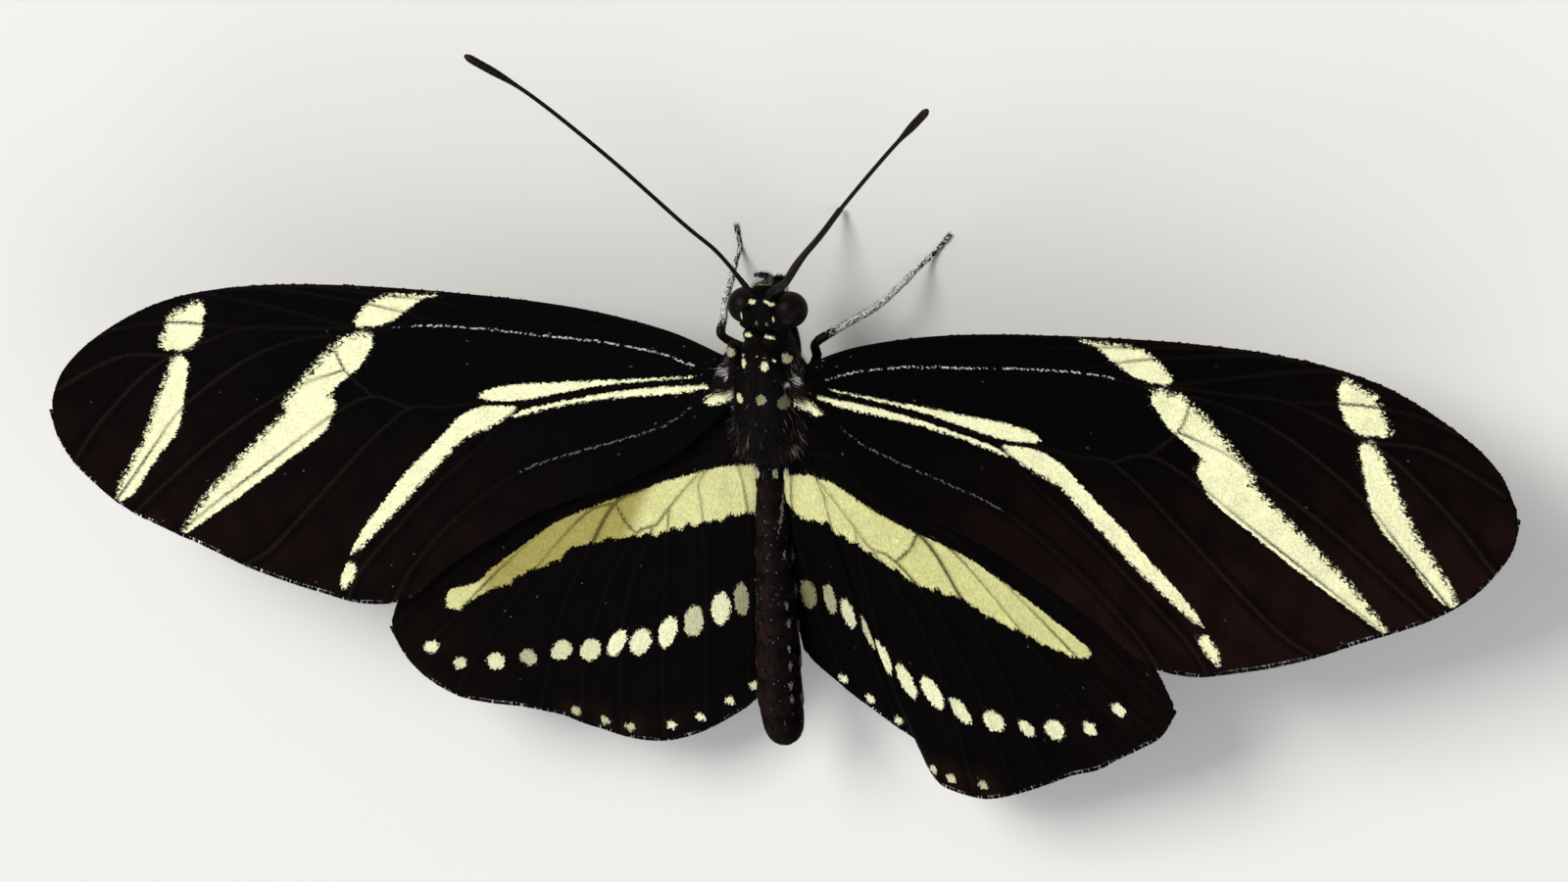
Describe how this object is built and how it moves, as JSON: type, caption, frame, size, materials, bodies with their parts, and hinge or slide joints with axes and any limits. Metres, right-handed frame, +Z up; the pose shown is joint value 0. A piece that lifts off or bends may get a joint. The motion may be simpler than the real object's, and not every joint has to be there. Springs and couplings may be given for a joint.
{
  "type": "zebra longwing butterfly",
  "caption": "Life-size still model of a black butterfly with pale yellow bands, its long wings spread nearly flat, standing on slender legs with its feelers forward",
  "frame": {"origin": "on the ground under the middle of the whole model's box", "axes": "+X to the butterfly's left along the wing span, +Y towards its tail, +Z up"},
  "size_m": [0.0884, 0.0416, 0.0159],
  "materials": {
    "body_coat": "matt black scales and short hair with pale cream spots",
    "leg_scales": "dark brown legs dusted with silver grey scales",
    "wing_scales": "velvety black brown wing scales with pale yellow bands",
    "eye_facets": "glossy dark maroon compound eye",
    "feeler_horn": "satin blackish horn"
  },
  "bodies": {
    "root": {"abdomen": "body_coat", "thorax": "body_coat", "head": "body_coat", "palp_left": "body_coat", "palp_right": "body_coat", "foreleg_left": "body_coat", "foreleg_right": "body_coat", "midleg_left": "leg_scales", "midleg_right": "leg_scales", "hindleg_left": "leg_scales", "hindleg_right": "leg_scales", "forewing_left": "wing_scales", "forewing_right": "wing_scales", "hindwing_left": "wing_scales", "hindwing_right": "wing_scales", "eye_left": "eye_facets", "eye_right": "eye_facets", "antenna_left": "feeler_horn", "antenna_right": "feeler_horn", "proboscis": "feeler_horn"}
  },
  "joints": []
}
